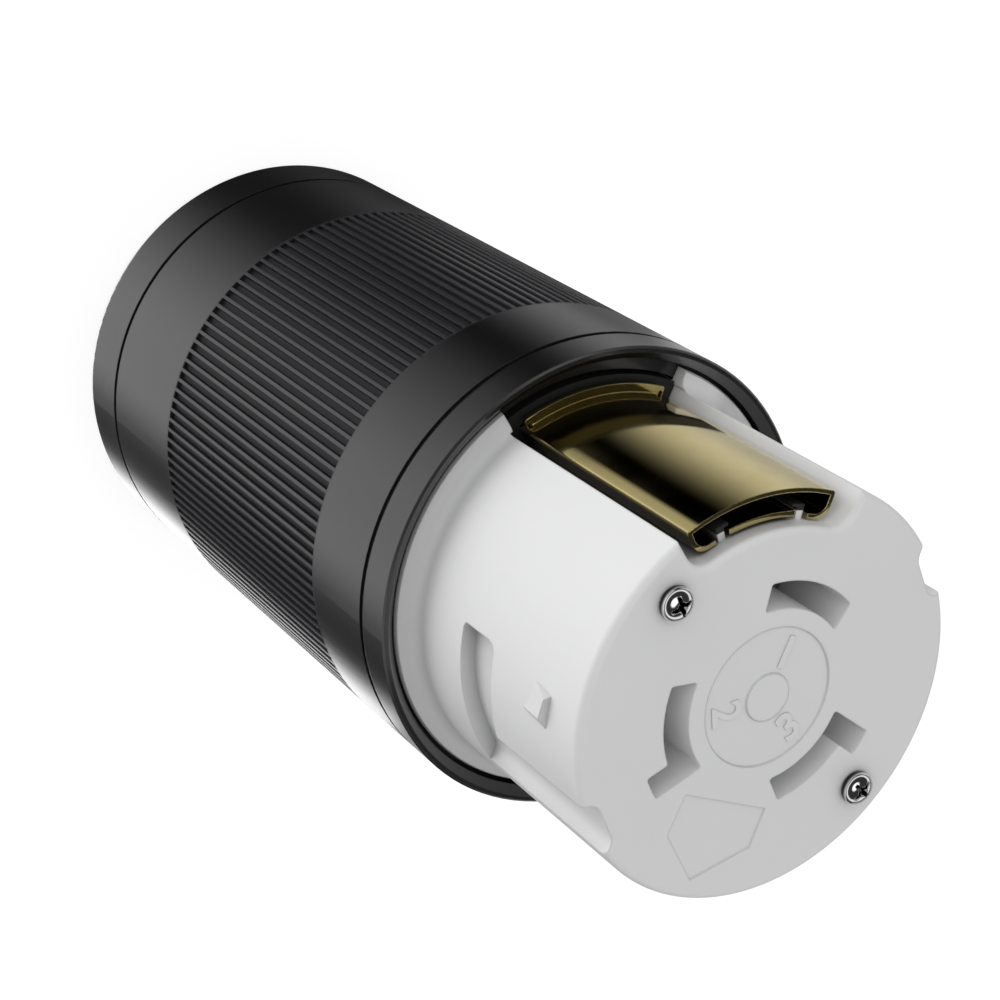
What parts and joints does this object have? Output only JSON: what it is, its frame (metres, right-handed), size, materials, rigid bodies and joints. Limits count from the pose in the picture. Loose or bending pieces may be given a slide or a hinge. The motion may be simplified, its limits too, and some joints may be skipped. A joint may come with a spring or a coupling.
{
  "type": "locking power connector",
  "caption": "Barrel-shaped locking power connector with a ribbed black grip, a white slotted socket body and a brass earth contact in a side recess.",
  "frame": {"origin": "centre of the rear face of the barrel, on its axis", "axes": "+Z along the axis from the cord end to the mating face; -Y through the middle of the earth recess; +X completes a right-handed frame"},
  "size_m": [0.068, 0.068, 0.1415],
  "materials": {
    "barrel_plastic": "satin",
    "socket_plastic": "satin",
    "inner_plastic": "satin",
    "clamp_plastic": "satin",
    "seal_rubber": "matte",
    "earth_brass": "polished",
    "contact_brass": "satin",
    "terminal_brass": "satin",
    "insert_brass": "turned",
    "line_screw_brass": "turned",
    "plated_steel": "zinc plated",
    "spring_steel": "satin",
    "earth_screw_paint": "green coated",
    "bright_screw": "nickel plated"
  },
  "bodies": {
    "root": {"barrel_inserts": "insert_brass", "contact_carrier": "inner_plastic", "cord_clamp_inserts": "insert_brass", "cord_clamp_left": "clamp_plastic", "cord_clamp_right": "clamp_plastic", "cord_clamp_screws": "plated_steel", "cord_seal": "seal_rubber", "face_screws": "bright_screw", "front_body": "socket_plastic", "ground_contact": "earth_brass", "ground_strap": "earth_brass", "ground_terminal": "terminal_brass", "ground_terminal_screw": "earth_screw_paint", "housing": "barrel_plastic", "line_terminal_screws": "line_screw_brass", "line_x_contact": "contact_brass", "line_x_contact_clip": "spring_steel", "line_x_pressure_plate": "plated_steel", "line_x_terminal": "terminal_brass", "line_y_contact": "contact_brass", "line_y_contact_clip": "spring_steel", "line_y_pressure_plate": "plated_steel", "line_y_terminal": "terminal_brass", "neutral_contact": "contact_brass", "neutral_contact_clip": "spring_steel", "neutral_pressure_plate": "plated_steel", "neutral_terminal": "terminal_brass", "neutral_terminal_screw": "plated_steel", "wire_guide": "inner_plastic"}
  },
  "joints": []
}
